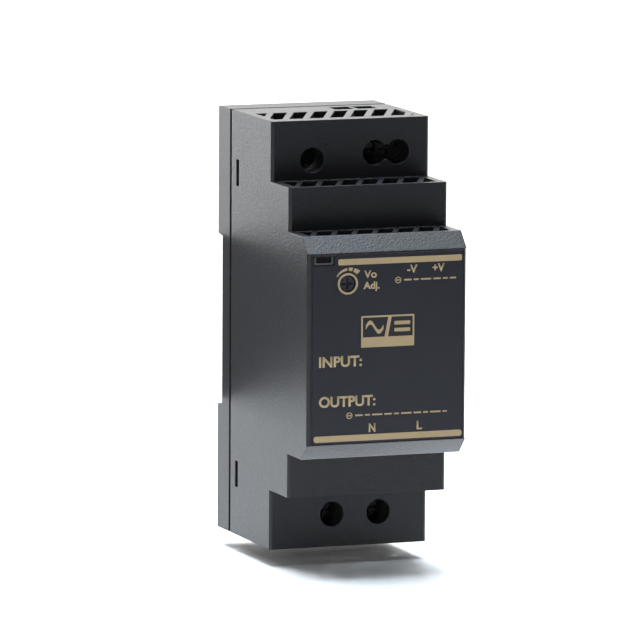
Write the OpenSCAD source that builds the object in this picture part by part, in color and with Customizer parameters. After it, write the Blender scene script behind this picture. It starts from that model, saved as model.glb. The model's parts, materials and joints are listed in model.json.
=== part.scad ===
// Two-module power supply for a 35 mm top-hat rail.
// Millimetres. +Z up, the front faces -Y, +X is right when seen from the front.
// Origin: middle of the rail seat, on the floor that the rail's lips rest against.

/* [Housing] */
// Overall width, two rail modules
body_w = 35; // [34:0.5:36]
// Overall height
body_h = 90; // [85:1:100]
// Wall thickness of the moulded housing
wall_t = 1.6; // [1.2:0.1:2.5]
// Distance from the rail seat to the terminal shelves
shelf_depth = 29.9; // [25:0.1:35]
// Distance from the rail seat to the middle step
step_depth = 40.7; // [36:0.1:46]
// Distance from the rail seat to the nose front
nose_depth = 51.9; // [47:0.1:58]
// Height of the middle step above the centre line
step_z = 32.4; // [28:0.1:36]
// Height of the nose above the centre line
nose_z = 23.2; // [20:0.05:26]
// Chamfer along the nose's top and bottom edges
nose_chamfer = 3.32; // [1:0.01:4]
// Chamfer on the upright front edges
edge_chamfer = 0.5; // [0:0.1:1]

/* [Vents] */
// Spacing of the slanted vent slots
vent_pitch = 4.52; // [3:0.01:6]
// Width of a vent slot in the end faces, measured along X
vent_slot = 3; // [1:0.1:4]
// Width of a vent slot in the ledges, measured along X
ledge_slot = 3.3; // [1:0.1:4]
// Slant of the vent ribs from the depth direction
vent_slant = 25; // [0:1:40]

/* [Terminals] */
// Radius of the screwdriver access holes
access_r = 2.6; // [2:0.05:3]
// Pitch of the two output screws
output_pitch = 5.08; // [5:0.01:7.62]
// Position of the negative output screw across the width
output_x = 5.4; // [3:0.1:6]
// Height of the output screws
output_z = 37.8; // [36:0.1:39]
// Position of the neutral input screw across the width
neutral_x = -3.7; // [-6:0.1:-2]
// Pitch of the two input screws
input_pitch = 10.35; // [7.5:0.05:11]
// Height of the input screws
input_z = -38.1; // [-39:0.1:-36]
// Travel of a clamping cage
cage_travel = 2.5; // [1.5:0.1:2.6]

/* [Rail] */
// Depth of the rail recess
recess_depth = 2.6; // [2:0.1:4]
// Half height of the top-hat rail
rail_half = 17.5; // [17.5:0.1:17.5]
// Travel of the rail latch
latch_travel = 3.5; // [2:0.1:4]

/* [Controls] */
// Position of the voltage trimmer across the width
trim_x = -8.7; // [-11:0.1:-6]
// Height of the voltage trimmer
trim_z = 13.5; // [10:0.1:15]
// Position of the status light across the width
led_x = -14.03; // [-14.5:0.01:-12]
// Height of the status light
led_z = 18.7; // [17:0.1:19]

/* [Hidden] */
$fn = 48;
half_w = body_w / 2;
half_h = body_h / 2;
eps = 0.05;

// front and back planes of the main parts
back_y = recess_depth;
cover_y = -4.5;
seam_y = -5.6;
shelf_y = -shelf_depth;
step_y = -step_depth;
nose_y = -nose_depth;
inner_w = body_w - 2 * wall_t;
inner_h = body_h - 2 * wall_t;
shelf_in_y = shelf_y + wall_t;
nose_in_y = nose_y + wall_t;

// rear cover
rim_y = -7.7;
rim_t = 1.2;
rim_gap = 0.15;
floor_in_y = -1.8;
pocket_y = 1;
window_z = 32;
window_h = 5.6;
window_y = [-10.1, -8.45];

// latch channel and slider
channel_y = -1.7;
slider_half = 5.9;
flange_half = 7.3;
flange_y = [-1.5, -0.2];
slider_back_y = 2.4;
slide_gap = 0.2;
lug_z = [-40, -38];
spring_top_z = -27;

// boards
board_y = -6;
board_t = 1.6;
board_half_w = 14.3;
board_half_h = 41.7;
lead_r = 0.35;
lead_end_y = -3.7;
pad_r = 0.85;
pad_hole_r = 0.45;
ctrl_y = -45.2;
ctrl_t = 1.2;

// terminal block, common to both ends
cell_half = 2.9;
entry_reach = 3.1;
heel_reach = 4.6;
block_y = -24;
head_y = -21.45;
head_r = 2.2;
head_h = 1.75;
shank_r = 1.45;
shank_end_y = -13.8;
cage_half = 2.15;
cage_half_z = 2.75;
cage_y = [-18, -7.8];
cage_wall = 0.6;
plate_y = [-13.6, -12.6];
output_xs = [output_x, output_x + output_pitch];
input_xs = [neutral_x, neutral_x + input_pitch];
spare_hole = [-8.5, 36.65];
entry_w = 4.4;
entry_y = [-12.3, -8];

// solder points on the main board, as [x, z]
contact_pins = concat(
    [for (x = output_xs) [x, output_z - heel_reach + 1.1]],
    [for (x = input_xs) [x, input_z + heel_reach - 1.1]]
);
fuse_pos = [-10.75, -37.6];
fuse_pins = [for (d = [-2.5, 2.5]) fuse_pos + [0, d]];
varistor_pos = [9, -29];
varistor_pins = [for (d = [-3.75, 3.75]) varistor_pos + [d, 0]];
thermistor_pos = [-9, -29];
thermistor_pins = [for (d = [-2.5, 2.5]) thermistor_pos + [d, 0]];
filter_pos = [-7.7, -20];
filter_pins = [for (dx = [-4, 4], dz = [-2.5, 2.5]) filter_pos + [dx, dz]];
xcap_pos = [7.75, -20];
xcap_pins = [for (d = [-5, 5]) xcap_pos + [d, 0]];
bridge_pos = [7.5, -12.75];
bridge_pins = [for (i = [-1.5:1.5]) bridge_pos + [2.54 * i, 0]];
bulk_pos = [-7.05, -7];
bulk_pins = [for (d = [-3.75, 3.75]) bulk_pos + [d, 0]];
switch_pos = [11.8, -3];
switch_pins = [for (i = [-1:1]) switch_pos + [0, 2.54 * i]];
xfmr_z = 11.5;
xfmr_pins = [for (i = [-1.5:1.5], dz = [-6, 6]) [4.6 * i, xfmr_z + dz]];
rect_pos = [-11.8, 25.6];
rect_pins = [for (i = [-1:1]) rect_pos + [0, 2.54 * i]];
ocap_xs = [-5.2, 2.9];
ocap_z = 24.5;
ocap_pins = [for (x = ocap_xs, d = [-1.75, 1.75]) [x + d, ocap_z]];
ochoke_pos = [10.8, 24.5];
ochoke_pins = [for (d = [-1.6, 1.6]) ochoke_pos + [d, 0]];
ycap_pos = [7.6, 30.95];
ycap_pins = [for (d = [-2.5, 2.5]) ycap_pos + [d, 0]];
opto_pos = [0.2, 31];
opto_pins = [for (dx = [-3.3, 3.3], dz = [-1.27, 1.27]) opto_pos + [dx, dz]];
header_x = -13.4;
header_zs = [for (i = [0:3]) 8.8 + 2.54 * i];
header_pins = [for (z = header_zs) [header_x, z]];
board_pins = concat(
    contact_pins, fuse_pins, varistor_pins, thermistor_pins, filter_pins, xcap_pins,
    bridge_pins, bulk_pins, switch_pins, xfmr_pins, rect_pins, ocap_pins, ochoke_pins,
    ycap_pins, opto_pins, header_pins
);
post_pins = [for (x = [-12.6, 12.6], z = [-25.5, 31.7]) [x, z]];

// ---------- helpers ----------

// box from two corners
module span(a, b) {
    translate(a) cube(b - a);
}

// cylinder along -Y from y_a to y_b at [x, z]
module rod_y(p, y_a, y_b, r) {
    translate([p[0], max(y_a, y_b), p[1]])
        rotate([90, 0, 0]) cylinder(h = abs(y_b - y_a), r = r);
}

// prism of a [y, z] outline along X, centred
module prism_x(points, width) {
    translate([-width / 2, 0, 0])
        rotate([90, 0, 90]) linear_extrude(height = width) polygon(points);
}

// straight leads from a component at y_top through the main board
module leads(pins, y_top) {
    for (p = pins) rod_y(p, y_top, lead_end_y, lead_r);
}

// ---------- housing ----------

// stepped side outline, inset by t
function shell_outline(t, rear_y) = [
    [rear_y, -half_h + t],
    [shelf_y + t, -half_h + t],
    [shelf_y + t, -step_z + t],
    [step_y + t, -step_z + t],
    [step_y + t, -nose_z + t],
    [nose_y + nose_chamfer + 0.414 * t, -nose_z + t],
    [nose_y + t, -nose_z + nose_chamfer + 0.414 * t],
    [nose_y + t, nose_z - nose_chamfer - 0.414 * t],
    [nose_y + nose_chamfer + 0.414 * t, nose_z - t],
    [step_y + t, nose_z - t],
    [step_y + t, step_z - t],
    [shelf_y + t, step_z - t],
    [shelf_y + t, half_h - t],
    [rear_y, half_h - t]
];

// slanted vent slots between y_a (front) and y_b (rear), cut through the level z
module vent_slots(y_a, y_b, z, x_mid, slot) {
    half_span = 15.6;
    shift = tan(vent_slant) * (y_b - y_a) / 2;
    intersection() {
        span([-half_span, y_a, z - 2.5], [half_span, y_b, z + 2.5]);
        translate([0, 0, z - 3])
            linear_extrude(height = 6)
                for (i = [-5:5])
                    translate([x_mid + i * vent_pitch, 0])
                        polygon([
                            [-slot / 2 - shift, y_a - eps],
                            [slot / 2 - shift, y_a - eps],
                            [slot / 2 + shift, y_b + eps],
                            [-slot / 2 + shift, y_b + eps]
                        ]);
    }
}

// access hole through the terminal shelf
module access_hole(p) {
    rod_y(p, shelf_y - 1, block_y + 1, access_r);
}

// 45 degree cut along both upright edges of the face at y, from z_a to z_b
module upright_chamfer(y, z_a, z_b) {
    for (s = [-1, 1])
        translate([0, 0, z_a]) linear_extrude(height = z_b - z_a)
            polygon([
                [s * (half_w - edge_chamfer - 1), y - 1],
                [s * (half_w + 1), y + edge_chamfer + 1],
                [s * (half_w + 1), y - 1]
            ]);
}

// screwdriver guide behind an access hole
module guide_tube(p) {
    rod_y(p, shelf_in_y - eps, block_y - 0.2, access_r + 0.6);
}

module front_housing() {
    label_pocket = 0.22;
    neck_h = 3;
    neck_z = [output_z - neck_h / 2, output_z + neck_h / 2];
    color([0.20, 0.21, 0.23])
    difference() {
        union() {
            difference() {
                prism_x(shell_outline(0, seam_y), body_w);
                prism_x(shell_outline(wall_t, 0), inner_w);
            }
            for (x = output_xs) guide_tube([x, output_z]);
            for (x = input_xs) guide_tube([x, input_z]);
            guide_tube(spare_hole);
        }
        // access holes, the output pair joined by a neck
        for (x = output_xs) access_hole([x, output_z]);
        for (x = input_xs) access_hole([x, input_z]);
        access_hole(spare_hole);
        span([output_xs[0], shelf_y - 1, neck_z[0]], [output_xs[1], block_y + 1, neck_z[1]]);
        // vents on the top and the underside, the two upper ledges and the two lower ones
        for (s = [-1, 1]) {
            vent_slots(-26.4, -14.7, s * (half_h - wall_t / 2), -3.65, vent_slot);
            vent_slots(step_y + 1.3, shelf_y - 0.3, s * (step_z - wall_t / 2), -1.95, ledge_slot);
            vent_slots(nose_y + nose_chamfer + 0.9, step_y - 0.3,
                s * (nose_z - wall_t / 2), -2.1, ledge_slot);
        }
        // wire entries
        for (x = output_xs)
            span([x - entry_w / 2, entry_y[0], half_h - wall_t - 1],
                [x + entry_w / 2, entry_y[1], half_h + 1]);
        for (x = input_xs)
            span([x - entry_w / 2, entry_y[0], -half_h - 1],
                [x + entry_w / 2, entry_y[1], -half_h + wall_t + 1]);
        // snap windows in the side walls
        for (s = [-1, 1])
            span([-half_w - 1, window_y[0], s * window_z - window_h / 2],
                [half_w + 1, window_y[1], s * window_z + window_h / 2]);
        // upright front edges of the nose, the steps and the shelves
        upright_chamfer(nose_y, nose_chamfer - nose_z, nose_z - nose_chamfer);
        for (s = [-1, 1]) {
            upright_chamfer(step_y, min(s * nose_z, s * step_z), max(s * nose_z, s * step_z));
            upright_chamfer(shelf_y, min(s * step_z, s * half_h), max(s * step_z, s * half_h));
        }
        // label pocket, trimmer hole and light window
        span([-16.5, nose_y - 1, -19.78], [16.9, nose_y + label_pocket, 19.42]);
        rod_y([trim_x, trim_z], nose_y - 1, nose_in_y + 1, 1.8);
        span([led_x - 1.6, nose_y - 1, led_z - 0.5], [led_x + 1.6, nose_in_y + 1, led_z + 0.5]);
    }
}

module front_label() {
    color([0.16, 0.165, 0.19])
    difference() {
        span([-16.42, nose_y, -19.7], [16.82, nose_y + 0.2, 19.34]);
        rod_y([trim_x, trim_z], nose_y - 1, nose_y + 1, 1.64);
        span([led_x - 1.65, nose_y - 1, led_z - 0.54], [led_x + 1.65, nose_y + 1, led_z + 0.5]);
    }
}

module led_window() {
    color([0.35, 0.07, 0.06])
        span([led_x - 1.55, nose_y + 0.25, led_z - 0.46], [led_x + 1.55, nose_in_y, led_z + 0.46]);
}

// ---------- rear cover and rail latch ----------

module rear_cover() {
    recess = [
        [0, -rail_half - 0.7],
        [back_y + 1, -rail_half - 1.1],
        [back_y + 1, rail_half + 0.5],
        [0, rail_half + 0.1]
    ];
    rim_half_w = inner_w / 2 - rim_gap;
    rim_half_h = inner_h / 2 - rim_gap;
    tongue_z = window_h / 2 - 0.3;
    color([0.19, 0.20, 0.22]) {
        difference() {
            union() {
                span([-half_w, cover_y, -half_h], [half_w, back_y, half_h]);
                span([-rim_half_w, rim_y, -rim_half_h], [rim_half_w, cover_y + eps, rim_half_h]);
            }
            span([-rim_half_w + rim_t, rim_y - 1, -rim_half_h + rim_t],
                [rim_half_w - rim_t, floor_in_y, rim_half_h - rim_t]);
            prism_x(recess, body_w + 2);
            // lightening pockets behind the floor, above the recess and beside the latch
            span([-14, floor_in_y - eps, 20.4], [14, pocket_y, 41.6]);
            for (s = [-1, 1])
                translate([s * 11.6, 0, 0])
                    span([-2.4, floor_in_y - eps, -41.6], [2.4, pocket_y, -20.6]);
            // latch channel: wide inner part, narrow outer part
            span([-flange_half - slide_gap, channel_y, -half_h - 1],
                [flange_half + slide_gap, 0, -rail_half]);
            span([-slider_half - slide_gap, channel_y, -half_h - 1],
                [slider_half + slide_gap, back_y + 1, -rail_half]);
        }
        // wall that closes the channel towards the boards
        span([-8.9, channel_y - 1.4, -half_h + 2.9], [8.9, channel_y, -rail_half + 0.4]);
        // spring lug in the channel
        span([-1.8, channel_y - eps, lug_z[0]], [1.8, 1.2, lug_z[1]]);
        // two fixed hooks behind the upper lip of the rail
        for (x = [-9, 9])
            span([x - 3, 1.25, rail_half - 1.5], [x + 3, back_y, rail_half + 0.6]);
        // snap tongues with barbs
        for (sx = [-1, 1], sz = [-1, 1])
            translate([0, 0, sz * window_z]) mirror([sx < 0 ? 1 : 0, 0, 0]) {
                span([rim_half_w - rim_t, -10.3, -tongue_z], [rim_half_w, rim_y + eps, tongue_z]);
                span([rim_half_w - eps, -9.9, -tongue_z], [half_w - 0.9, -8.6, tongue_z]);
            }
        // posts and locating pins for the main board
        for (p = post_pins) {
            rod_y(p, board_y + board_t, floor_in_y - eps, 1.5);
            rod_y(p, board_y - 0.4, board_y + board_t + eps, 0.9);
        }
        // feet of the two posts that stand over a pocket
        for (p = post_pins) rod_y(p, floor_in_y - eps, pocket_y + eps, 1.5);
    }
}

module rail_latch() {
    hook_z = [-rail_half - 0.9, -rail_half + 1.3];
    color([0.15, 0.15, 0.16])
    difference() {
        union() {
            span([-slider_half, flange_y[0], -half_h], [slider_half, slider_back_y, -rail_half - 1.1]);
            span([-flange_half, flange_y[0], -half_h + 1.5],
                [flange_half, flange_y[1], -rail_half - 1.2]);
            // nose behind the lower lip of the rail
            prism_x([
                [1.25, hook_z[0] - 1], [slider_back_y, hook_z[0] - 1],
                [slider_back_y, hook_z[1] - 0.7], [slider_back_y - 0.6, hook_z[1]],
                [1.25, hook_z[1]]
            ], 2 * slider_half);
        }
        // window for the spring and its lug
        span([-2.2, flange_y[0] - 1, lug_z[0] - 0.4], [2.2, back_y + 1, spring_top_z]);
        // screwdriver slot near the foot
        span([-2.6, flange_y[0] - 1, -43.6], [2.6, back_y + 1, -42]);
    }
}

module latch_spring() {
    turns = 7;
    strip = 0.3;
    reach = 1.4;
    bend_r = 0.22;
    z_a = lug_z[1] + 0.03;
    z_b = spring_top_z - 0.03;
    rise = (z_b - z_a - strip) / turns;
    tilt = atan2(rise, 2 * reach);
    leg = sqrt(rise * rise + 4 * reach * reach);
    color([0.75, 0.76, 0.78])
    union() {
        for (i = [0:turns - 1])
            translate([0, 0, z_a + strip / 2 + (i + 0.5) * rise])
                rotate([0, (i % 2 == 0 ? -1 : 1) * tilt, 0])
                    span([-leg / 2, -1.2, -strip / 2], [leg / 2, 1, strip / 2]);
        for (i = [1:turns - 1])
            rod_y([(i % 2 == 0 ? -1 : 1) * reach, z_a + strip / 2 + i * rise], -1.2, 1, bend_r);
        // flat end tabs
        span([-reach, -1.2, z_a], [reach, 1, z_a + strip]);
        span([-reach, -1.2, z_b - strip], [reach, 1, z_b]);
    }
}

// ---------- boards ----------

module main_board() {
    color([0.10, 0.34, 0.20])
    difference() {
        span([-board_half_w, board_y, -board_half_h], [board_half_w, board_y + board_t, board_half_h]);
        for (p = board_pins) rod_y(p, board_y - 1, board_y + board_t + 1, pad_hole_r);
        for (p = post_pins) rod_y(p, board_y - 1, board_y + board_t + 1, 0.95);
    }
}

module solder_joints() {
    top_y = board_y + board_t;
    color([0.78, 0.78, 0.80])
    for (p = board_pins)
        translate([p[0], top_y, p[1]]) rotate([-90, 0, 0])
            difference() {
                cylinder(h = 0.65, r1 = pad_r, r2 = pad_hole_r + 0.1);
                translate([0, 0, -1]) cylinder(h = 3, r = pad_hole_r);
            }
}

module insulation_sheet() {
    color([0.86, 0.84, 0.72, 0.8])
    difference() {
        span([-13.8, -3.5, -board_half_h + 0.3], [13.8, -3.25, board_half_h - 0.3]);
        for (p = post_pins) rod_y(p, -4, -3, 1.7);
    }
}

module control_board() {
    color([0.10, 0.34, 0.20])
    difference() {
        span([-15.4, ctrl_y, 7.4], [-1.5, ctrl_y + ctrl_t, 20.4]);
        for (z = header_zs) rod_y([header_x, z], ctrl_y - 1, ctrl_y + ctrl_t + 1, 0.5);
    }
}

module header_spacer() {
    half = 1.27;
    color([0.09, 0.09, 0.10])
    difference() {
        span([header_x - 0.85, board_y - 2.5, header_zs[0] - half],
            [header_x + 0.8, board_y, header_zs[3] + half]);
        for (z = header_zs) rod_y([header_x, z], board_y - 4, board_y + 1, 0.4);
    }
}

module header_contacts() {
    color([0.82, 0.70, 0.40])
    for (z = header_zs) rod_y([header_x, z], ctrl_y - 1, lead_end_y, 0.33);
}

// ---------- trimmer and status light ----------

module trimmer_body() {
    color([0.13, 0.22, 0.45])
    difference() {
        span([trim_x - 3.3, ctrl_y - 3.6, trim_z - 3.3], [trim_x + 3.3, ctrl_y, trim_z + 3.3]);
        rod_y([trim_x, trim_z], ctrl_y - 4, ctrl_y - 1.6, 1.6);
    }
}

module trimmer_rotor() {
    front_y = nose_y + 0.3;
    color([0.12, 0.12, 0.13])
    difference() {
        rod_y([trim_x, trim_z], front_y, ctrl_y - 1.65, 1.55);
        for (a = [0, 90])
            translate([trim_x, front_y, trim_z]) rotate([0, a, 0])
                span([-1.1, -1, -0.2], [1.1, 0.5, 0.2]);
    }
}

module status_led() {
    color([0.75, 0.15, 0.12])
    translate([led_x, 0, led_z - 0.3]) {
        rod_y([0, 0], ctrl_y - 4, ctrl_y - 0.6, 1);
        rod_y([0, 0], ctrl_y - 0.9, ctrl_y, 1.2);
    }
}

// ---------- terminals ----------

// moulded block with one cell for each screw; up is 1 at the top end, -1 at the bottom
module terminal_block(xs, zc, up) {
    entry_z = zc + up * entry_reach;
    heel_z = zc - up * heel_reach;
    chamber_z = zc - up * (cage_half_z + 0.15);
    foot_z = zc - up * (heel_reach - 0.6);
    difference() {
        span([xs[0] - cell_half, block_y, min(entry_z, heel_z)],
            [xs[1] + cell_half, board_y, max(entry_z, heel_z)]);
        for (x = xs) {
            // head pocket and shank hole
            rod_y([x, zc], block_y - 1, head_y + 0.05, head_r + 0.12);
            rod_y([x, zc], block_y - 1, -15, shank_r + 0.15);
            // chamber of the cage, open towards the wire
            span([x - cage_half - 0.1, head_y + 0.65, min(chamber_z, entry_z + up)],
                [x + cage_half + 0.1, cage_y[1] + 0.1, max(chamber_z, entry_z + up)]);
            // slots for the contact plate and its leg
            span([x - 1.45, plate_y[0] - 0.05, min(foot_z, zc)],
                [x + 1.45, plate_y[1] + 0.05, max(foot_z, zc)]);
            span([x - 0.65, plate_y[0] - 0.05, min(foot_z, foot_z + up * 1.05)],
                [x + 0.65, board_y + 1, max(foot_z, foot_z + up * 1.05)]);
        }
    }
}

// fixed contact plates with their legs through the board
module terminal_contacts(xs, zc, up) {
    foot_z = zc - up * (heel_reach - 0.65);
    tip_z = zc + up * (entry_reach - 0.4);
    leg_z = foot_z + up * 0.9;
    for (x = xs) {
        span([x - 1.4, plate_y[0], min(foot_z, tip_z)], [x + 1.4, plate_y[1], max(foot_z, tip_z)]);
        span([x - 0.6, plate_y[0], min(foot_z, leg_z)], [x + 0.6, board_y - 0.3, max(foot_z, leg_z)]);
        rod_y([x, zc - up * (heel_reach - 1.1)], board_y - 0.8, lead_end_y, 0.38);
    }
}

// clamping screw with a combined slot and cross recess
module terminal_screw(x, zc) {
    front_y = head_y - head_h;
    color([0.74, 0.74, 0.72])
    difference() {
        union() {
            rod_y([x, zc], front_y, head_y, head_r);
            rod_y([x, zc], head_y - eps, shank_end_y, shank_r);
        }
        translate([x, front_y, zc]) {
            span([-head_r - 1, -1, -0.35], [head_r + 1, 0.9, 0.35]);
            span([-0.3, -1, -1.3], [0.3, 1.1, 1.3]);
        }
    }
}

// rising cage: a square tube around the contact plate with a threaded front wall
module terminal_cage(x, zc) {
    color([0.80, 0.68, 0.38])
    difference() {
        span([x - cage_half, cage_y[0], zc - cage_half_z], [x + cage_half, cage_y[1], zc + cage_half_z]);
        span([x - cage_half + cage_wall, cage_y[0] + 1.5, zc - cage_half_z - 1],
            [x + cage_half - cage_wall, cage_y[1] - 0.8, zc + cage_half_z + 1]);
        rod_y([x, zc], cage_y[0] - 1, cage_y[0] + 2, shank_r + 0.05);
    }
}

module output_terminal_block() {
    color([0.14, 0.30, 0.20]) terminal_block(output_xs, output_z, 1);
}

module output_contacts() {
    color([0.80, 0.66, 0.36]) terminal_contacts(output_xs, output_z, 1);
}

module output_screw_negative() {
    terminal_screw(output_xs[0], output_z);
}

module output_screw_positive() {
    terminal_screw(output_xs[1], output_z);
}

module output_cage_negative() {
    terminal_cage(output_xs[0], output_z);
}

module output_cage_positive() {
    terminal_cage(output_xs[1], output_z);
}

module input_terminal_block() {
    color([0.14, 0.30, 0.20]) terminal_block(input_xs, input_z, -1);
}

module input_contacts() {
    color([0.80, 0.66, 0.36]) terminal_contacts(input_xs, input_z, -1);
}

module input_screw_neutral() {
    terminal_screw(input_xs[0], input_z);
}

module input_screw_line() {
    terminal_screw(input_xs[1], input_z);
}

module input_cage_neutral() {
    terminal_cage(input_xs[0], input_z);
}

module input_cage_line() {
    terminal_cage(input_xs[1], input_z);
}

// ---------- input side ----------

module input_fuse() {
    color([0.22, 0.12, 0.10]) {
        rod_y(fuse_pos, board_y - 8.5, board_y - 0.5, 3.6);
        leads(fuse_pins, board_y - 1);
    }
}

// upright disc with its axis along Z
module disc_part(pos, pins, r, t) {
    y_mid = board_y - r - 0.8;
    translate([pos[0], y_mid, pos[1] - t / 2]) cylinder(h = t, r = r);
    leads(pins, y_mid);
}

module surge_varistor() {
    color([0.10, 0.25, 0.60]) disc_part(varistor_pos, varistor_pins, 5.2, 4);
}

module inrush_thermistor() {
    color([0.12, 0.22, 0.16]) disc_part(thermistor_pos, thermistor_pins, 4.8, 4);
}

// ring section around the filter's axis, from half angle a to the other side
module filter_ring(r_in, r_out, half_t) {
    translate([r_in, -half_t]) square([r_out - r_in, 2 * half_t]);
}

module filter_core() {
    color([0.25, 0.26, 0.27])
        translate([filter_pos[0], board_y - 8.5, filter_pos[1]])
            rotate_extrude() filter_ring(4, 7, 3.5);
}

module filter_windings() {
    color([0.72, 0.38, 0.18])
    translate([filter_pos[0], board_y - 8.5, filter_pos[1]])
        for (a = [115, 295])
            rotate([0, 0, a])
                rotate_extrude(angle = 130)
                    difference() {
                        filter_ring(3.3, 7.7, 4.2);
                        filter_ring(3.97, 7.03, 3.53);
                    }
    color([0.72, 0.38, 0.18]) leads(filter_pins, board_y - 2.25);
}

module x_capacitor() {
    color([0.85, 0.75, 0.20]) {
        span([xcap_pos[0] - 6.6, board_y - 12, xcap_pos[1] - 4],
            [xcap_pos[0] + 6.5, board_y - 0.2, xcap_pos[1] + 4]);
        leads(xcap_pins, board_y - 1);
    }
}

module bridge_rectifier() {
    color([0.08, 0.08, 0.09]) {
        span([bridge_pos[0] - 5.5, board_y - 12, bridge_pos[1] - 1.7],
            [bridge_pos[0] + 5.5, board_y - 2, bridge_pos[1] + 1.7]);
        leads(bridge_pins, board_y - 3);
    }
}

module bulk_capacitor() {
    r = 7.4;
    top_y = -36;
    color([0.10, 0.12, 0.30])
    difference() {
        union() {
            rod_y(bulk_pos, top_y, board_y - 0.4, r);
            leads(bulk_pins, board_y - 1);
        }
        // rolled crimp near the base
        translate([bulk_pos[0], board_y - 3, bulk_pos[1]]) rotate([90, 0, 0])
            rotate_extrude() translate([r + 0.35, 0]) circle(r = 0.8);
    }
}

// ---------- power stage ----------

// flat heatsink plate standing on the board's edge
module heatsink(x_a, x_b, z_a, z_b, y_top, hole_z, hole_y) {
    difference() {
        span([x_a, y_top, z_a], [x_b, rim_y - 0.2, z_b]);
        translate([x_a - 1, hole_y, hole_z]) rotate([0, 90, 0]) cylinder(h = 5, r = 1.6);
    }
}

// three-lead power package; side is 1 when its tab faces +X
module power_package(face_x, zc, side, pins) {
    x_body = face_x - side * 4.4;
    x_tab = face_x - side * 1.3;
    difference() {
        union() {
            span([min(face_x, x_body), -22.5, zc - 5], [max(face_x, x_body), -13.5, zc + 5]);
            span([min(face_x, x_tab), -29, zc - 5], [max(face_x, x_tab), -22.4, zc + 5]);
        }
        translate([face_x - 5, -25.9, zc]) rotate([0, 90, 0]) cylinder(h = 10, r = 1.8);
    }
    leads(pins, -14);
}

// machine screw along X with a nut side and a head side
module clamp_screw(face_x, zc, side) {
    translate([face_x - side * 1.35, -25.9, zc]) rotate([0, -side * 90, 0]) {
        cylinder(h = 1.6, r = 2.6);
        translate([0, 0, -2.9]) cylinder(h = 3, r = 1.45);
    }
}

module primary_heatsink() {
    color([0.72, 0.73, 0.75]) heatsink(14, 15.5, -9.5, 3.5, -33, switch_pos[1], -25.9);
}

module switch_transistor() {
    color([0.09, 0.09, 0.10]) power_package(13.95, switch_pos[1], 1, switch_pins);
}

module switch_screw() {
    color([0.70, 0.70, 0.70]) clamp_screw(13.95, switch_pos[1], 1);
}

module output_heatsink() {
    color([0.72, 0.73, 0.75])
    difference() {
        heatsink(-15.5, -14, 19.9, 30.6, -29.8, rect_pos[1], -25.9);
        // corner cut away round the cover's snap tongue
        span([-16, -10.9, 28.9], [-13.5, rim_y + 1, 31]);
    }
}

module output_rectifier() {
    color([0.09, 0.09, 0.10]) power_package(-13.95, rect_pos[1], -1, rect_pins);
}

module rectifier_screw() {
    color([0.70, 0.70, 0.70]) clamp_screw(-13.95, rect_pos[1], -1);
}

module controller_chip() {
    color([0.07, 0.07, 0.08]) {
        span([-13.2, board_y - 1.6, 1.6], [-10.4, board_y - 0.1, 6.5]);
        for (i = [-1.5:1.5])
            span([-14.1, board_y - 0.7, 4.05 + 1.2 * i - 0.2], [-9.5, board_y, 4.05 + 1.2 * i + 0.2]);
    }
}

// ---------- transformer ----------

core_y = [-28, -8];
limb_half = 3.5;
flange_ys = [-24.4, -12.6];

module transformer_core() {
    yoke = 3.4;
    color([0.20, 0.20, 0.21])
    difference() {
        span([-12.5, core_y[0], xfmr_z - limb_half], [12.5, core_y[1], xfmr_z + limb_half]);
        for (s = [-1, 1])
            translate([s * 6.5, 0, 0])
                span([-3, core_y[0] + yoke, 0], [3, core_y[1] - yoke, 2 * xfmr_z]);
    }
}

// square sleeve around the centre limb from half size a to b
module limb_sleeve(a, b, y_a, y_b) {
    difference() {
        span([-b, y_a, xfmr_z - b], [b, y_b, xfmr_z + b]);
        span([-a, y_a - 1, xfmr_z - a], [a, y_b + 1, xfmr_z + a]);
    }
}

module transformer_bobbin() {
    color([0.10, 0.10, 0.11]) {
        limb_sleeve(limb_half + 0.1, 4.3, flange_ys[0], flange_ys[1] + 0.9);
        for (y = flange_ys) limb_sleeve(limb_half + 0.1, 8, y, y + 0.9);
        // pin rails on both sides of the core
        for (s = [-1, 1])
            translate([0, 0, xfmr_z + s * 6])
                span([-8, flange_ys[1], -1.9], [8, board_y - 0.1, 1.9]);
        leads(xfmr_pins, board_y - 1);
    }
}

module transformer_winding() {
    color([0.72, 0.36, 0.16])
        limb_sleeve(4.35, 7.2, flange_ys[0] + 0.95, flange_ys[1] - 0.05);
}

module transformer_tape() {
    color([0.90, 0.78, 0.15])
        limb_sleeve(7.22, 7.5, flange_ys[0] + 1.1, flange_ys[1] - 0.2);
}

// ---------- output side ----------

module optocoupler() {
    color([0.92, 0.92, 0.90]) {
        span([opto_pos[0] - 2.3, board_y - 4, opto_pos[1] - 2.1],
            [opto_pos[0] + 2.3, board_y - 0.4, opto_pos[1] + 2.1]);
        for (p = opto_pins)
            span([min(p[0], opto_pos[0]), board_y - 2.4, p[1] - 0.25],
                [max(p[0], opto_pos[0]), board_y - 2.1, p[1] + 0.25]);
        leads(opto_pins, board_y - 2.4);
    }
}

module y_capacitor() {
    color([0.15, 0.35, 0.62]) disc_part(ycap_pos, ycap_pins, 4, 3.4);
}

module output_capacitors() {
    color([0.12, 0.13, 0.15])
    for (x = ocap_xs)
        difference() {
            rod_y([x, ocap_z], -26, board_y - 0.4, 4);
            translate([x, board_y - 2.5, ocap_z]) rotate([90, 0, 0])
                rotate_extrude() translate([4.25, 0]) circle(r = 0.6);
        }
    color([0.12, 0.13, 0.15]) leads(ocap_pins, board_y - 1);
}

module output_choke_core() {
    color([0.24, 0.24, 0.25]) {
        rod_y(ochoke_pos, board_y - 12, board_y - 0.5, 1.8);
        for (y = [board_y - 12, board_y - 2]) rod_y(ochoke_pos, y, y + 1.5, 3.5);
    }
}

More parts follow.
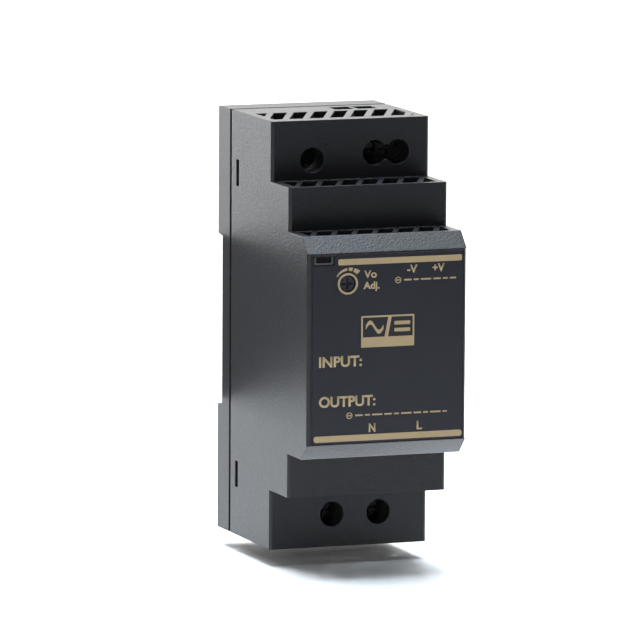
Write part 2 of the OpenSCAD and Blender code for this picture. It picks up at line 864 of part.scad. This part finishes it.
module output_choke_winding() {
    color([0.72, 0.38, 0.18])
    difference() {
        rod_y(ochoke_pos, board_y - 10.4, board_y - 2.1, 3.1);
        rod_y(ochoke_pos, board_y - 13, board_y, 1.85);
    }
}

// ---------- drawing ----------

front_housing();
rear_cover();
rail_latch();
latch_spring();
front_label();
led_window();
main_board();
solder_joints();
insulation_sheet();
control_board();
header_spacer();
header_contacts();
trimmer_body();
trimmer_rotor();
status_led();
output_terminal_block();
output_contacts();
output_screw_negative();
output_screw_positive();
output_cage_negative();
output_cage_positive();
input_terminal_block();
input_contacts();
input_screw_neutral();
input_screw_line();
input_cage_neutral();
input_cage_line();
input_fuse();
surge_varistor();
inrush_thermistor();
filter_core();
filter_windings();
x_capacitor();
bridge_rectifier();
bulk_capacitor();
primary_heatsink();
switch_transistor();
switch_screw();
controller_chip();
transformer_core();
transformer_bobbin();
transformer_winding();
transformer_tape();
optocoupler();
y_capacitor();
output_heatsink();
output_rectifier();
rectifier_screw();
output_capacitors();
output_choke_core();
output_choke_winding();
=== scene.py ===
import json
import math

import bpy
from mathutils import Matrix, Vector


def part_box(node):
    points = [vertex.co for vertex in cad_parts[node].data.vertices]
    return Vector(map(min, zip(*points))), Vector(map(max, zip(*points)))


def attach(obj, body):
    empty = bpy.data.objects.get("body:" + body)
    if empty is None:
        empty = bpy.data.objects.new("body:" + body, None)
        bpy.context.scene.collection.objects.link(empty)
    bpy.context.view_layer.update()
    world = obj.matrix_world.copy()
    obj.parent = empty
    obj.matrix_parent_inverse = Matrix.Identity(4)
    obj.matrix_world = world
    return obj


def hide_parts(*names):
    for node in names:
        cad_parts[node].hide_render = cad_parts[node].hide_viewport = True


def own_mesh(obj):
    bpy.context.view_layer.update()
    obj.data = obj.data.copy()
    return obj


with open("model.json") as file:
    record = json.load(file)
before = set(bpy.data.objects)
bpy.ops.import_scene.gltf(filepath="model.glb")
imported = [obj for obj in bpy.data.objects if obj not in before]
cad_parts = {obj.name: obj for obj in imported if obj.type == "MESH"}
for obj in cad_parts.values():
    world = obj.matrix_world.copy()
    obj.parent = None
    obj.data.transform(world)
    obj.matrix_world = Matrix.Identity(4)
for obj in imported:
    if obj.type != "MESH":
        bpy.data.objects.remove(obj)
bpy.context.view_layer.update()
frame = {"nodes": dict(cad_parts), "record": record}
nodes = frame["nodes"]
record = frame["record"]
MM = 0.001

# ---------------------------------------------------------------- camera

# a long lens from the front left, a little above the top face, as fitted to the photo
LENS = 444.7
CAMERA_AT = Vector((-578.4, -1560.2, 228.0)) * MM
YAW, PITCH, ROLL = math.radians(20.489), math.radians(-7.841), math.radians(0.319)

scene = bpy.context.scene
scene.view_settings.view_transform = "Standard"
camera_data = bpy.data.cameras.new("camera")
camera_data.sensor_width = 36.0
camera_data.lens = LENS
camera_data.clip_start = 0.1
camera_data.clip_end = 20.0
camera = bpy.data.objects.new("camera", camera_data)
scene.collection.objects.link(camera)
turn = (
    Matrix.Rotation(-YAW, 4, "Z")
    @ Matrix.Rotation(math.pi / 2 + PITCH, 4, "X")
    @ Matrix.Rotation(ROLL, 4, "Z")
)
camera.matrix_world = Matrix.Translation(CAMERA_AT) @ turn
scene.camera = camera

# ---------------------------------------------------------------- materials

finishes = {}


def start(name, rough, metal=0.0, specular=0.5):
    """A new material, kept in finishes, with its node tree and its shader."""
    mat = bpy.data.materials.new(name)
    mat.use_nodes = True
    bsdf = mat.node_tree.nodes["Principled BSDF"]
    bsdf.inputs["Roughness"].default_value = rough
    bsdf.inputs["Metallic"].default_value = metal
    bsdf.inputs["Specular IOR Level"].default_value = specular
    finishes[name] = mat
    return mat, mat.node_tree, bsdf


def new_node(tree, kind, **values):
    """A shader node; a value sets the input of its name, or else the plain property."""
    node = tree.nodes.new(kind)
    for key, value in values.items():
        socket = key.replace("_", " ")
        if socket in node.inputs:
            node.inputs[socket].default_value = value
        else:
            setattr(node, key, value)
    return node


def object_space(tree, stretch=(1.0, 1.0, 1.0)):
    coords = new_node(tree, "ShaderNodeTexCoord")
    mapping = new_node(tree, "ShaderNodeMapping", Scale=stretch)
    tree.links.new(coords.outputs["Object"], mapping.inputs["Vector"])
    return mapping.outputs["Vector"]


def noise(tree, space, scale, detail=3.0, rough=0.55):
    node = new_node(tree, "ShaderNodeTexNoise", Scale=scale, Detail=detail, Roughness=rough)
    tree.links.new(space, node.inputs["Vector"])
    return node.outputs["Fac"]


def tint(tree, bsdf, factor, dark, light, low=0.3, high=0.7):
    """Base colour from dark to light as the factor goes from low to high."""
    ramp = new_node(tree, "ShaderNodeValToRGB")
    for stop, position, tone in zip(ramp.color_ramp.elements, (low, high), (dark, light)):
        stop.position = position
        stop.color = (*tone, 1.0)
    tree.links.new(factor, ramp.inputs["Fac"])
    tree.links.new(ramp.outputs["Color"], bsdf.inputs["Base Color"])


def vary_rough(tree, bsdf, factor, low, high):
    span = new_node(tree, "ShaderNodeMapRange", To_Min=low, To_Max=high)
    tree.links.new(factor, span.inputs["Value"])
    tree.links.new(span.outputs["Result"], bsdf.inputs["Roughness"])


def emboss(tree, bsdf, height, strength, depth, edge=0.0):
    """Bump from a height factor; edge is the radius that sharp corners are rounded by."""
    bump = new_node(tree, "ShaderNodeBump", Strength=strength, Distance=depth)
    tree.links.new(height, bump.inputs["Height"])
    if edge:
        bevel = new_node(tree, "ShaderNodeBevel", Radius=edge, samples=6)
        tree.links.new(bevel.outputs["Normal"], bump.inputs["Normal"])
    tree.links.new(bump.outputs["Normal"], bsdf.inputs["Normal"])


def shade_recesses(tree, bsdf, reach):
    """Takes colour and gloss away inside deep holes, where little light gets in."""
    occlusion = new_node(tree, "ShaderNodeAmbientOcclusion", Distance=reach, samples=8)
    open_share = new_node(tree, "ShaderNodeMapRange", From_Min=0.3, From_Max=0.6)
    tree.links.new(occlusion.outputs["AO"], open_share.inputs["Value"])
    fade = new_node(tree, "ShaderNodeVectorMath", operation="SCALE")
    tree.links.new(bsdf.inputs["Base Color"].links[0].from_socket, fade.inputs[0])
    tree.links.new(open_share.outputs["Result"], fade.inputs["Scale"])
    tree.links.new(fade.outputs["Vector"], bsdf.inputs["Base Color"])
    matt = new_node(tree, "ShaderNodeMapRange", To_Min=1.0, To_Max=0.0)
    tree.links.new(open_share.outputs["Result"], matt.inputs["Value"])
    most = new_node(tree, "ShaderNodeMath", operation="MAXIMUM")
    tree.links.new(bsdf.inputs["Roughness"].links[0].from_socket, most.inputs[0])
    tree.links.new(matt.outputs["Result"], most.inputs[1])
    tree.links.new(most.outputs["Value"], bsdf.inputs["Roughness"])


def toned(color, gain):
    return tuple(min(1.0, c * gain) for c in color)


def grained(name, color, rough, grain, depth=0.02 * MM, strength=0.5, spread=0.12, edge=0.0,
            specular=0.5, recess=0.0):
    """Moulded plastic, print or a dipped coating: fine grain over a soft cloudy tone."""
    mat, tree, bsdf = start(name, rough, specular=specular)
    space = object_space(tree)
    cloud = noise(tree, space, 90.0, detail=4.0)
    fine = noise(tree, space, grain, detail=2.0, rough=0.7)
    tint(tree, bsdf, cloud, toned(color, 1 - spread), toned(color, 1 + spread))
    vary_rough(tree, bsdf, fine, rough - 0.07, rough + 0.09)
    emboss(tree, bsdf, fine, strength, depth, edge)
    if recess:
        shade_recesses(tree, bsdf, recess)
    return mat


def metal(name, color, rough, stretch=(1.0, 1.0, 12.0), spread=0.15):
    """Plated or bare metal with fine drawn lines."""
    mat, tree, bsdf = start(name, rough, metal=1.0)
    lines = noise(tree, object_space(tree, stretch), 1500.0)
    cloud = noise(tree, object_space(tree), 220.0)
    tint(tree, bsdf, cloud, toned(color, 1 - spread), toned(color, 1 + spread))
    vary_rough(tree, bsdf, lines, rough - 0.08, rough + 0.12)
    emboss(tree, bsdf, lines, strength=0.25, depth=0.01 * MM)
    return mat


def wound(name, color, pitch):
    """Enamelled wire: close turns, one above the other along Z, with painted shade in the groove
    between turns.
    """
    band_scale = 0.314 / pitch  # one band of the wave texture for each turn
    mat, tree, bsdf = start(name, 0.28, metal=0.8)
    wave = new_node(tree, "ShaderNodeTexWave", bands_direction="Z", Scale=band_scale,
                    Distortion=0.4)
    tree.links.new(object_space(tree), wave.inputs["Vector"])
    # painted shade: the colour falls to 0.35 of the copper where the wave is low, in the groove
    # between turns
    tint(tree, bsdf, wave.outputs["Fac"], toned(color, 0.35), color, low=0.1, high=0.6)
    emboss(tree, bsdf, wave.outputs["Fac"], strength=0.8, depth=0.1 * MM)
    return mat


def board(name):
    """Solder mask over copper fill, with the edges of tracks showing."""
    mat, tree, bsdf = start(name, 0.35)
    space = object_space(tree)
    cells = new_node(tree, "ShaderNodeTexVoronoi", distance="CHEBYCHEV", Scale=260.0)
    tree.links.new(space, cells.inputs["Vector"])
    tint(tree, bsdf, cells.outputs["Distance"], (0.02, 0.11, 0.05), (0.045, 0.22, 0.10),
         low=0.2, high=0.3)
    emboss(tree, bsdf, noise(tree, space, 900.0), strength=0.2, depth=0.02 * MM)
    return mat


def pressed_ferrite(name):
    """Dull grey core with a coarse speckle."""
    mat, tree, bsdf = start(name, 0.6)
    speck = noise(tree, object_space(tree), 2600.0, detail=4.0, rough=0.8)
    tint(tree, bsdf, speck, (0.03, 0.03, 0.034), (0.09, 0.09, 0.095))
    emboss(tree, bsdf, speck, strength=0.5, depth=0.03 * MM)
    return mat


GOLD = (0.385, 0.285, 0.155)
SHELL = (0.0080, 0.0078, 0.0105)
NAVY = (0.0125, 0.013, 0.019)
WELL_DEPTH = 6.0 * MM

# case and front
grained("housing_plastic", SHELL, 0.42, 2100.0, depth=0.08 * MM, strength=0.9, spread=0.08,
        edge=0.35 * MM, specular=0.38, recess=WELL_DEPTH)
grained("cover_plastic", toned(SHELL, 0.95), 0.44, 2100.0, depth=0.06 * MM, strength=0.9,
        spread=0.08, edge=0.25 * MM, specular=0.38)
grained("latch_plastic", (0.02, 0.02, 0.023), 0.42, 3000.0, edge=0.2 * MM)
metal("spring_steel", (0.52, 0.53, 0.55), 0.28)
grained("label_print", NAVY, 0.38, 2600.0, depth=0.012 * MM, strength=0.3, spread=0.06,
        specular=0.32)
gold_ink = grained("gold_ink", GOLD, 0.42, 3000.0, depth=0.01 * MM, strength=0.3, spread=0.06)
rim_ink = grained("window_rim", (0.05, 0.048, 0.052), 0.34, 2500.0, depth=0.01 * MM,
                  strength=0.2)
field_ink = grained("window_field", (0.003, 0.003, 0.004), 0.34, 2500.0, depth=0.01 * MM,
                    strength=0.2, specular=0.2)
grained("window_red", (0.006, 0.0005, 0.0005), 0.14, 1500.0, depth=0.01 * MM, strength=0.2,
        specular=0.2)
grained("led_lens", (0.30, 0.02, 0.02), 0.12, 1200.0, depth=0.01 * MM)

# boards, trimmer and terminals
board("circuit_board")
metal("solder", (0.70, 0.70, 0.72), 0.22, stretch=(1.0, 1.0, 1.0))
grained("insulation_film", (0.70, 0.66, 0.50), 0.3, 900.0)
grained("black_plastic", (0.018, 0.018, 0.02), 0.5, 3200.0, edge=0.15 * MM)
metal("tinned_brass", (0.68, 0.58, 0.36), 0.3)
grained("trimmer_blue", (0.02, 0.07, 0.32), 0.32, 2500.0, edge=0.15 * MM)
# painted light: the rotor takes the label's navy made 1.2 times lighter, to offset the shade it
# gets in its recess behind the film
grained("rotor_plastic", toned(NAVY, 1.2), 0.42, 3000.0, edge=0.08 * MM, specular=0.32)
grained("terminal_plastic", (0.012, 0.013, 0.014), 0.5, 3200.0, edge=0.12 * MM,
        recess=WELL_DEPTH)
# painted shade: the zinc-plated screws get a near-black colour that stands in for the shade deep in
# the terminal holes
metal("zinc_steel", (0.05, 0.05, 0.054), 0.45)
metal("cage_brass", (0.66, 0.52, 0.27), 0.33)

# parts on the main board
grained("fuse_case", (0.09, 0.028, 0.022), 0.4, 2800.0, edge=0.25 * MM)
grained("varistor_coat", (0.02, 0.10, 0.38), 0.35, 1200.0, depth=0.05 * MM, strength=0.6,
        edge=0.6 * MM)
grained("thermistor_coat", (0.02, 0.06, 0.038), 0.5, 1200.0, depth=0.05 * MM, strength=0.6,
        edge=0.6 * MM)
pressed_ferrite("ferrite")
wound("copper_wire", (0.62, 0.24, 0.09), pitch=0.55 * MM)
grained("xcap_case", (0.62, 0.47, 0.04), 0.38, 2600.0, edge=0.3 * MM)
grained("bulk_sleeve", (0.02, 0.03, 0.13), 0.22, 1400.0, edge=0.3 * MM)
metal("heatsink_metal", (0.62, 0.63, 0.65), 0.35, stretch=(1.0, 12.0, 1.0))
grained("winding_tape", (0.70, 0.54, 0.03), 0.25, 1300.0, edge=0.2 * MM)
grained("opto_case", (0.72, 0.72, 0.69), 0.45, 3000.0, edge=0.1 * MM)
grained("ycap_coat", (0.04, 0.13, 0.38), 0.35, 1200.0, depth=0.05 * MM, strength=0.6,
        edge=0.5 * MM)
grained("output_sleeve", (0.02, 0.023, 0.032), 0.22, 1400.0, edge=0.3 * MM)

for row in record["subparts"]:
    painted = nodes[row["node"]].data
    painted.materials.clear()
    painted.materials.append(finishes[row["material_slot"]])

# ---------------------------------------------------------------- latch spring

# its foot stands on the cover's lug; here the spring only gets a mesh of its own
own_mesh(nodes["latch_spring"])

# ---------------------------------------------------------------- printed front

# ink and film lie one behind the other, just inside the front of the CAD label
front_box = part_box("front_label")
INK_Y = front_box[0][1] + 0.015 * MM
FILM_Y = front_box[0][1] + 0.05 * MM
INK_DEPTH = FILM_Y - INK_Y
FILM_DEPTH = 0.15 * MM
CAP_HEIGHT = 0.729  # of the built-in font at size 1

# places on the front, in mm
left, right = front_box[0][0] / MM, front_box[1][0] / MM
bottom, top = front_box[0][2] / MM, front_box[1][2] / MM


def middle_mm(node):
    """Middle of a node's box as [x, z] in mm."""
    low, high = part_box(node)
    return (low[0] + high[0]) / 2 / MM, (low[2] + high[2]) / 2 / MM


trim_x, trim_z = middle_mm("trimmer_rotor")
led_x, led_z = middle_mm("led_window")


def to_mesh(source, y_front):
    """Turns a flat curve into a mesh standing in the XZ plane, with its front at y_front."""
    bpy.context.view_layer.update()
    graph = bpy.context.evaluated_depsgraph_get()
    mesh = bpy.data.meshes.new_from_object(source.evaluated_get(graph))
    mesh.transform(Matrix.Rotation(math.pi / 2, 4, "X"))
    mesh.transform(Matrix.Translation((0, y_front + source.data.extrude, 0)))
    bpy.data.objects.remove(source)
    return mesh


def printed(name, mesh, material):
    """A piece of the printed front from a finished mesh."""
    piece = bpy.data.objects.new(name, mesh)
    scene.collection.objects.link(piece)
    mesh.materials.clear()
    mesh.materials.append(material)
    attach(piece, "chassis")
    return piece


def flat_piece(name, loops, y_front, depth, material):
    """An extruded flat shape from closed [x, z] loops in mm; inner loops are holes."""
    curve = bpy.data.curves.new(name, "CURVE")
    curve.dimensions = "2D"
    curve.fill_mode = "BOTH"
    curve.extrude = depth / 2
    for loop in loops:
        spline = curve.splines.new("POLY")
        spline.points.add(len(loop) - 1)
        for point, (x, z) in zip(spline.points, loop):
            point.co = (x * MM, z * MM, 0, 1)
        spline.use_cyclic_u = True
    source = bpy.data.objects.new(name, curve)
    scene.collection.objects.link(source)
    return printed(name, to_mesh(source, y_front), material)


def ink(name, loops, material=gold_ink):
    return flat_piece(name, loops, INK_Y, INK_DEPTH, material)


def rounded(x0, z0, x1, z1, r, steps=5):
    """Loop of a rectangle with rounded corners."""
    loop = []
    corners = [(x1 - r, z1 - r, 0), (x0 + r, z1 - r, 90), (x0 + r, z0 + r, 180),
               (x1 - r, z0 + r, 270)]
    for cx, cz, turn_deg in corners:
        for i in range(steps + 1):
            a = math.radians(turn_deg + 90 * i / steps)
            loop.append((cx + r * math.cos(a), cz + r * math.sin(a)))
    return loop


def circle(cx, cz, r, steps=64):
    turns = [2 * math.pi * i / steps for i in range(steps)]
    return [(cx + r * math.cos(a), cz + r * math.sin(a)) for a in turns]


def widening_arc(a0, a1, r_in, r0, r1, steps=14):
    """Band round the trimmer from a0 to a1 degrees; its outer radius goes from r0 to r1."""
    turns = [math.radians(a0 + (a1 - a0) * i / steps) for i in range(steps + 1)]
    outer = [r0 + (r1 - r0) * i / steps for i in range(steps + 1)]
    return ([(trim_x + r * math.cos(a), trim_z + r * math.sin(a)) for a, r in zip(turns, outer)]
            + [(trim_x + r_in * math.cos(a), trim_z + r_in * math.sin(a))
               for a in reversed(turns)])


def wave_band(x0, x1, z, swing, half, steps=40):
    """Thick line of one sine wave."""
    line = [(x0 + (x1 - x0) * i / steps, z + swing * math.sin(2 * math.pi * i / steps))
            for i in range(steps + 1)]
    return [(x, y + half) for x, y in line] + [(x, y - half) for x, y in reversed(line)]


def word(name, text, x0, x1, z_base, cap):
    """Printed word from x0 to x1 with its capitals cap high, all in mm."""
    curve = bpy.data.curves.new(name, "FONT")
    curve.body = text
    curve.size = 1.0
    curve.offset = 0.03
    source = bpy.data.objects.new(name, curve)
    scene.collection.objects.link(source)
    bpy.context.view_layer.update()
    graph = bpy.context.evaluated_depsgraph_get()
    mesh = bpy.data.meshes.new_from_object(source.evaluated_get(graph))
    bpy.data.objects.remove(source)
    xs = [v.co.x for v in mesh.vertices]
    low, wide = min(xs), max(xs) - min(xs)
    stretch = (x1 - x0) * MM / wide
    rise = cap * MM / CAP_HEIGHT
    for v in mesh.vertices:
        v.co = Vector(((v.co.x - low) * stretch + x0 * MM, INK_Y, v.co.y * rise + z_base * MM))
    piece = printed(name, mesh, gold_ink)
    solid = piece.modifiers.new("thickness", "SOLIDIFY")
    solid.thickness = INK_DEPTH * 0.9
    solid.offset = -1.0


def screw_note(name, x0, x1, z):
    """Small screw symbol followed by short dashes, in place of a printed note."""
    r = 0.684
    slot_half = 0.12
    dash_half = 0.17
    gap = 0.45
    ink(name + "_ring", [circle(x0 + r, z, r, 32), circle(x0 + r, z, r * 0.72, 32)])
    ink(name + "_slot", [rounded(x0 + 0.45 * r, z - slot_half, x0 + 1.55 * r, z + slot_half,
                                 0.05, 2)])
    x = x0 + 2 * r + 0.6
    i = 0
    while x < x1 - 0.6:
        wide = (1.7, 1.1, 2.3)[i % 3]
        x_end = min(x + wide, x1)
        ink(f"{name}_dash_{i}", [rounded(x, z - dash_half, x_end, z + dash_half, 0.1, 2)])
        x = x_end + gap
        i += 1


# film with openings for the status window and the trimmer
window_loop = rounded(led_x - 1.72, led_z - 0.68, led_x + 1.72, led_z + 0.56, 0.15)
trimmer_hole = circle(trim_x, trim_z, 1.64)
film = flat_piece("front_film", [rounded(left, bottom, right, top, 0.5), trimmer_hole, window_loop],
                  FILM_Y, FILM_DEPTH, finishes["label_print"])
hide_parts("front_label")

# rules along the top and bottom
ink("rule_top", [rounded(left + 5.6, top - 1.95, right - 0.35, top - 0.7, 0.3)])
ink("rule_bottom", [rounded(left + 0.4, bottom + 0.4, right - 0.15, bottom + 1.7, 0.5)])

# ring round the trimmer, with an arc in three pieces that widens clockwise
ARC_IN = 2.72
ink("adjust_ring", [circle(trim_x, trim_z, 2.22), circle(trim_x, trim_z, 1.8)])
ink("adjust_arc_a", [widening_arc(147, 93, ARC_IN, 2.95, 3.3)])
ink("adjust_arc_b", [widening_arc(87, 71, ARC_IN, 3.34, 3.48)])
ink("adjust_arc_c", [widening_arc(65, 44, ARC_IN, 3.52, 3.75)])

# general marks
word("mark_adjust_a", "Vo", -5.15, -2.36, 14.62, 1.55)
word("mark_adjust_b", "Adj.", -5.3, -1.7, 12.3, 1.5)
word("mark_minus", "-V", 4.36, 6.6, 15.3, 1.65)
word("mark_plus", "+V", 9.97, 12.65, 15.35, 1.65)
word("mark_input", "INPUT:", -14.95, -5.5, -3.62, 2.2)
word("mark_output", "OUTPUT:", -14.9, -2.48, -11.95, 2.2)
word("mark_neutral", "N", -3.9, -2.44, -17.5, 1.8)
word("mark_line", "L", 6.7, 7.88, -17.45, 1.8)
screw_note("note_upper", 1.7, 15.2, 13.85)
screw_note("note_lower", -8.9, 13.4, -13.95)

# converter pictogram: a wave, a stroke and two bars in a frame over a filled band
box_l, box_r, box_b, box_t = -5.7, 6.0, 0.1, 6.65
line_w = 0.35
field_b, field_t = box_b + 2.1, box_t - line_w
mid_z = (field_b + field_t) / 2
ink("pictogram_frame", [
    rounded(box_l, box_b, box_r, box_t, 0.15, 2),
    rounded(box_l + line_w, field_b, box_r - line_w, field_t, 0.05, 2),
])
ink("pictogram_wave", [wave_band(box_l + 1.0, box_l + 4.9, mid_z, swing=1.0, half=0.42)])
ink("pictogram_slash", [[(-0.55, field_b), (0.2, field_b), (1.0, field_t), (0.25, field_t)]])
ink("pictogram_bar_a", [rounded(1.6, mid_z + 0.35, 5.1, mid_z + 1.1, 0.1, 2)])
ink("pictogram_bar_b", [rounded(1.6, mid_z - 1.1, 5.1, mid_z - 0.35, 0.1, 2)])

# status window: a paler rim inside a dark printed field
rim_loop = rounded(led_x - 2.1, led_z - 1.05, led_x + 2.05, top - 0.05, 0.35)
field_loop = rounded(left + 0.2, led_z - 1.35, led_x + 2.45, top - 0.02, 0.15, 2)
ink("status_rim", [rim_loop, window_loop], rim_ink)
ink("status_field", [field_loop, rim_loop], field_ink)

# ---------------------------------------------------------------- stage

# a pale floor that turns up into a wall behind; the latch has room to move down above it
FLOOR_Z = -48.7 * MM
FLOOR_FRONT, FLOOR_BACK, FLOOR_HALF_W = -4.0, 1.2, 5.0
SWEEP_R = 0.6
WALL_TOP = 4.0
SWEEP_STEPS = 10
floor_mat, floor_tree, floor_bsdf = start("floor", 0.8)
floor_cloud = noise(floor_tree, object_space(floor_tree), 3.0)
tint(floor_tree, floor_bsdf, floor_cloud, (0.88, 0.88, 0.88), (0.92, 0.92, 0.92))
profile = [(FLOOR_FRONT, 0.0), (FLOOR_BACK, 0.0)]
profile += [(FLOOR_BACK + SWEEP_R * math.sin(a), SWEEP_R - SWEEP_R * math.cos(a))
            for a in (math.radians(90 / SWEEP_STEPS * i) for i in range(1, SWEEP_STEPS + 1))]
profile.append((FLOOR_BACK + SWEEP_R, WALL_TOP))
verts = [(x, y, FLOOR_Z + z) for y, z in profile for x in (-FLOOR_HALF_W, FLOOR_HALF_W)]
faces = [(2 * i, 2 * i + 1, 2 * i + 3, 2 * i + 2) for i in range(len(profile) - 1)]
sweep = bpy.data.meshes.new("floor")
sweep.from_pydata(verts, [], faces)
for face in sweep.polygons:
    face.use_smooth = True
floor = bpy.data.objects.new("floor", sweep)
floor.data.materials.append(floor_mat)
scene.collection.objects.link(floor)

# dark card seen only in reflections, where the rail would stand
flag_x, flag_y, flag_z = (-0.35, -0.0177), 0.003, 0.0175
flag_mesh = bpy.data.meshes.new("flag")
flag_mesh.from_pydata([(flag_x[0], flag_y, -flag_z), (flag_x[1], flag_y, -flag_z),
                       (flag_x[1], flag_y, flag_z), (flag_x[0], flag_y, flag_z)],
                      [], [(0, 1, 2, 3)])
flag = bpy.data.objects.new("flag", flag_mesh)
flag.data.materials.append(grained("flag_card", (0.02, 0.017, 0.015), 0.8, 300.0))
scene.collection.objects.link(flag)
flag.visible_camera = False
flag.visible_diffuse = False
flag.visible_shadow = False

# ---------------------------------------------------------------- light

COOL = (0.82, 0.92, 1.0)


def softbox(name, at, aim, width, height, radiance, color=(1.0, 1.0, 1.0), spread=180.0):
    """Area light from at towards aim, in metres; radiance is its brightness per area."""
    data = bpy.data.lights.new(name, "AREA")
    data.shape = "RECTANGLE"
    data.size, data.size_y = width, height
    data.energy = radiance * width * height * math.pi
    data.color = color
    data.spread = math.radians(spread)
    lamp = bpy.data.objects.new(name, data)
    scene.collection.objects.link(lamp)
    at, aim = Vector(at), Vector(aim)
    facing = (aim - at).to_track_quat("-Z", "Y").to_matrix().to_4x4()
    lamp.matrix_world = Matrix.Translation(at) @ facing
    lamp.visible_camera = False


world = bpy.data.worlds.new("world")
scene.world = world
world.use_nodes = True
sky = world.node_tree.nodes["Background"]
sky.inputs["Color"].default_value = (0.95, 0.97, 1.0, 1.0)
sky.inputs["Strength"].default_value = 0.03

# the wash lights floor and wall, the small ones each show in one face of the case
softbox("wash_light", (0.0, 0.9, 0.9), (0.0, 0.95, 0.0), 2.0, 1.1, 3.4)
softbox("top_light", (0.0, 0.02, 0.55), (0.0, 0.0, 0.0), 0.45, 0.36, 5.0, COOL, spread=95.0)
softbox("low_light", (0.004, -0.0455, -0.0340), (0.004, -0.0505, -0.0213), 0.07, 0.008, 1.9,
        (0.86, 0.93, 1.0), spread=75.0)
softbox("side_panel", (-0.38, 0.95, 0.06), (-0.02, 0.0, 0.0), 0.6, 0.5, 5.0, (0.95, 0.965, 1.0))
softbox("key_light", (-0.95, -1.15, 0.25), (0.0, -0.05, 0.0), 0.5, 0.4, 8.0)
softbox("back_panel", (0.36, 0.95, 0.2), (0.0, 0.0, 0.0), 0.6, 0.4, 2.0, (1.0, 0.98, 0.93))
